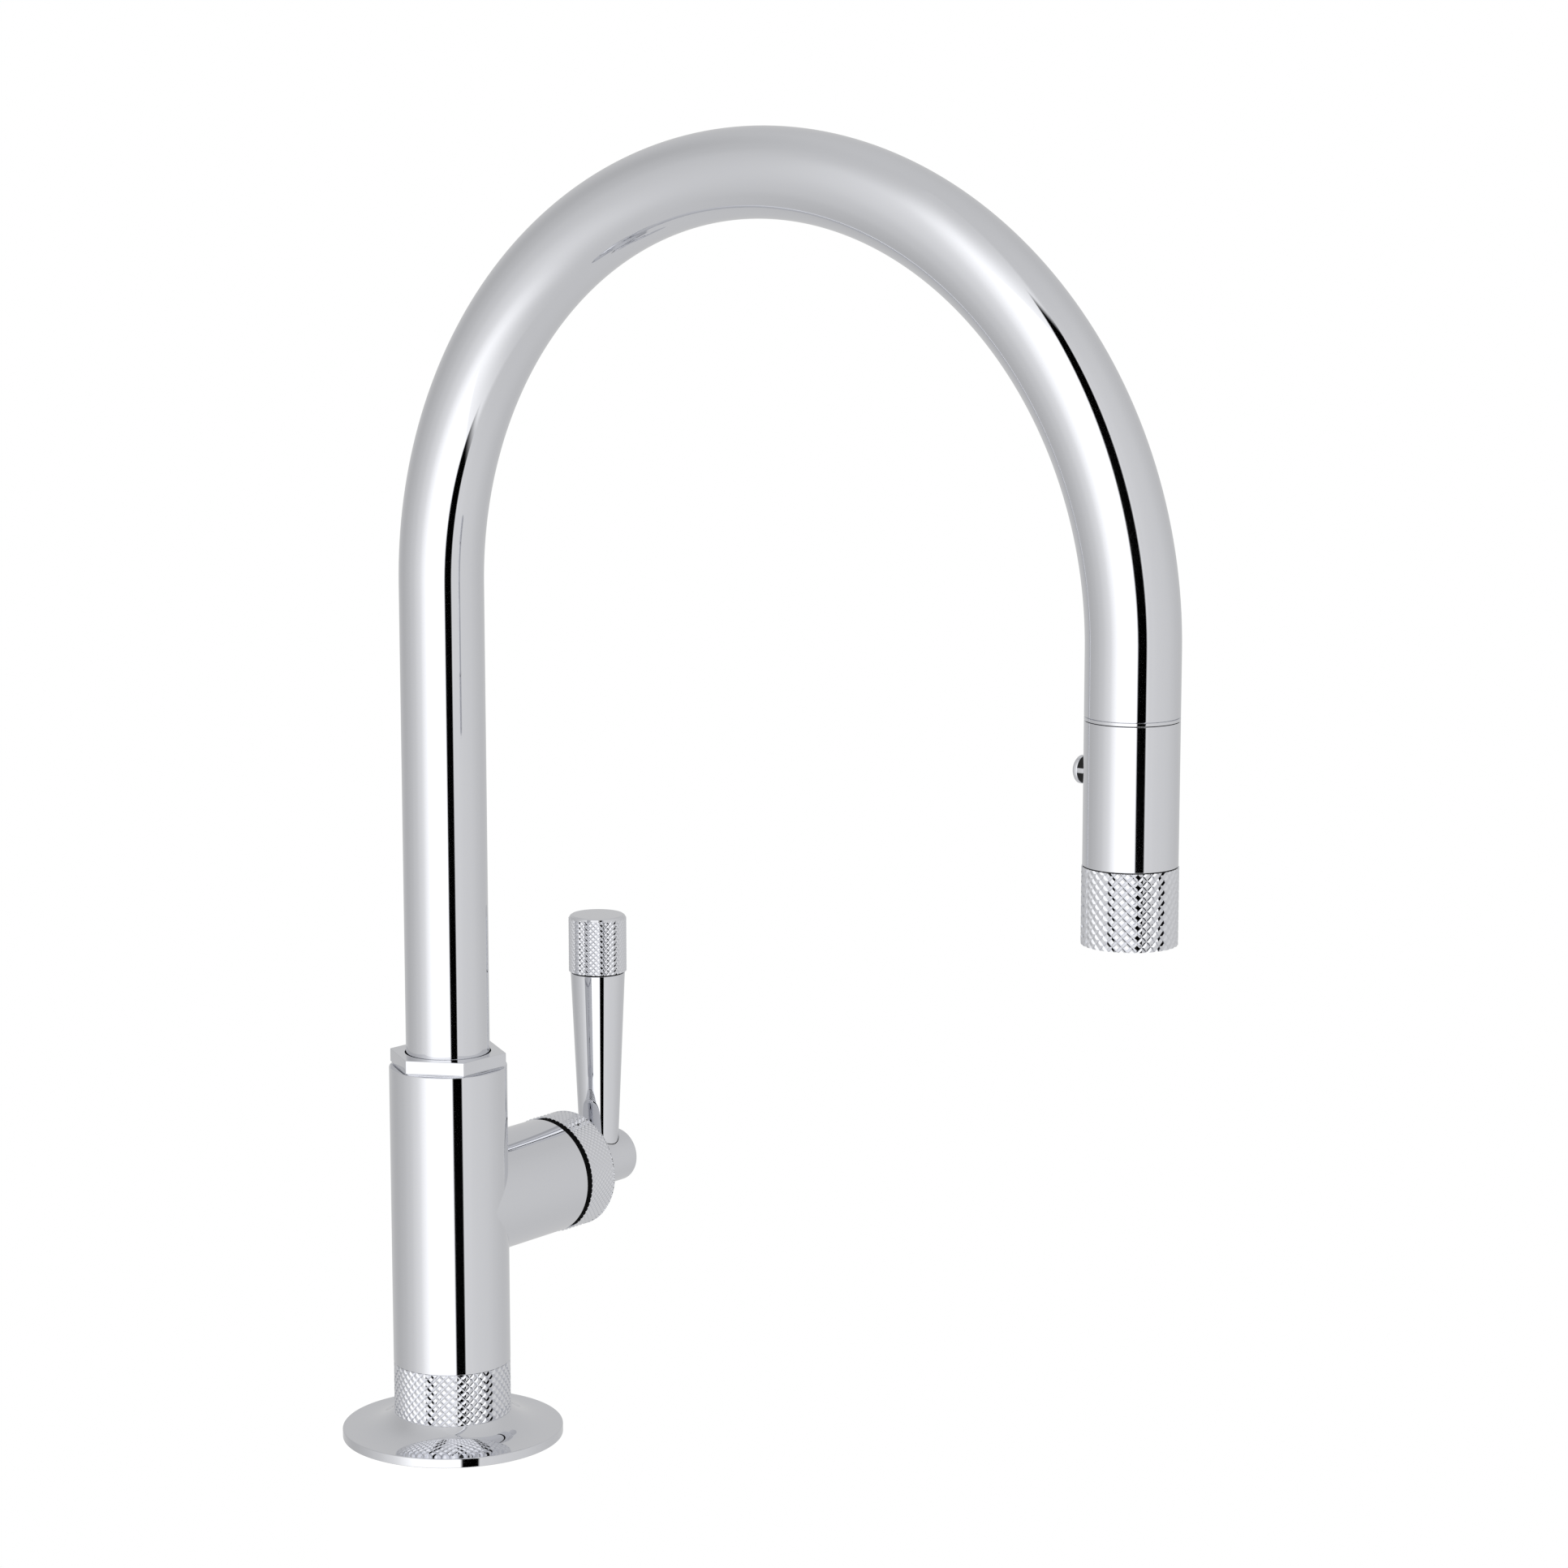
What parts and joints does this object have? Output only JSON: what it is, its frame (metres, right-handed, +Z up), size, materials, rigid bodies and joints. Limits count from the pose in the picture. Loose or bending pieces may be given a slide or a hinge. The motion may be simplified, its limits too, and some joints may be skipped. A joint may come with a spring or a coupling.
{
  "type": "pull-down kitchen faucet",
  "caption": "Single-lever kitchen faucet: high arched swivel spout, pull-down spray head on a hose, side ceramic-disc valve with a knurled lever, round deck flange.",
  "frame": {"origin": "centre of the flange's underside, on the deck", "axes": "+Z up the body, +X along the spout's reach at rest, +Y along the side valve towards the lever"},
  "size_m": [0.3217, 0.125, 0.5216],
  "materials": {
    "polished_chrome": "polished chrome plating on brass",
    "brass": "machined brass",
    "stainless_steel": "brushed stainless steel",
    "black_rubber": "matt rubber",
    "acetal": "natural acetal",
    "black_acetal": "satin black plastic",
    "ceramic": "lapped alumina ceramic",
    "braided_hose": "braided nylon hose"
  },
  "bodies": {
    "base": {"base_gasket": "black_rubber", "base_flange": "polished_chrome", "knurled_base_ring": "polished_chrome", "threaded_shank": "brass", "deck_gasket": "black_rubber", "deck_washer": "stainless_steel", "mounting_nut": "brass", "clamp_screws": "stainless_steel", "faucet_body": "polished_chrome", "side_barrel": "polished_chrome", "lower_bush": "acetal", "upper_bush": "acetal", "collar_nut": "polished_chrome", "cartridge_seal": "black_rubber", "cartridge_housing": "acetal", "fixed_disc": "ceramic", "cartridge_nut": "brass", "groove_ring": "black_acetal", "knurled_cap": "polished_chrome"},
    "spout": {"spout_tube": "polished_chrome", "spout_collar": "brass", "spout_o_ring": "black_rubber", "outlet_ring": "polished_chrome", "dock_sleeve": "acetal", "spray_hose": "braided_hose", "hose_coupling": "brass"},
    "spray_head": {"hose_nipple": "brass", "spray_shell": "polished_chrome", "spray_core": "acetal", "neck_o_ring": "black_rubber", "check_valve": "acetal", "aerator_housing": "acetal", "aerator_screen": "stainless_steel", "nozzle_mat": "black_rubber", "spray_face": "stainless_steel", "knurled_nozzle_ring": "polished_chrome"},
    "button": {"spray_button": "polished_chrome", "diverter_spool": "stainless_steel", "button_spring": "stainless_steel"},
    "temperature_carrier": {"stem_guide": "acetal", "pivot_pin": "stainless_steel"},
    "valve_disc": {"moving_disc": "ceramic", "disc_driver": "acetal"},
    "lever": {"lever_stem": "stainless_steel", "lever_hub": "polished_chrome", "set_screw": "stainless_steel", "lever_rod": "polished_chrome", "lever_knob": "polished_chrome"}
  },
  "joints": [
    {"name": "spout_swivel", "type": "hinge", "parent": "base", "child": "spout", "pos_m": [0, 0, 0.12], "axis": [0, 0, 1], "continuous": true},
    {"name": "head_pull", "type": "slide", "parent": "spout", "child": "spray_head", "axis": [0, 0, -1], "range_m": [0, 0.4], "deforming": ["spray_hose"]},
    {"name": "button_press", "type": "slide", "parent": "spray_head", "child": "button", "axis": [1, 0, 0], "range_m": [0, 0.0024], "stiffness_N_per_m": 400, "springref_m": -0.001, "deforming": ["button_spring"]},
    {"name": "temperature", "type": "hinge", "parent": "base", "child": "temperature_carrier", "pos_m": [0, 0.058, 0.0798], "axis": [0, 1, 0], "range_deg": [-45, 45]},
    {"name": "lever_tilt", "type": "hinge", "parent": "temperature_carrier", "child": "lever", "pos_m": [0, 0.058, 0.0798], "axis": [-1, 0, 0], "range_deg": [0, 20]},
    {"name": "disc_slide", "type": "slide", "parent": "temperature_carrier", "child": "valve_disc", "axis": [0, 0, 1], "range_m": [0, 0.0046]}
  ],
  "couplings": [
    {"joint": "disc_slide", "follows": "lever_tilt", "m_per_rad": 0.0125}
  ]
}
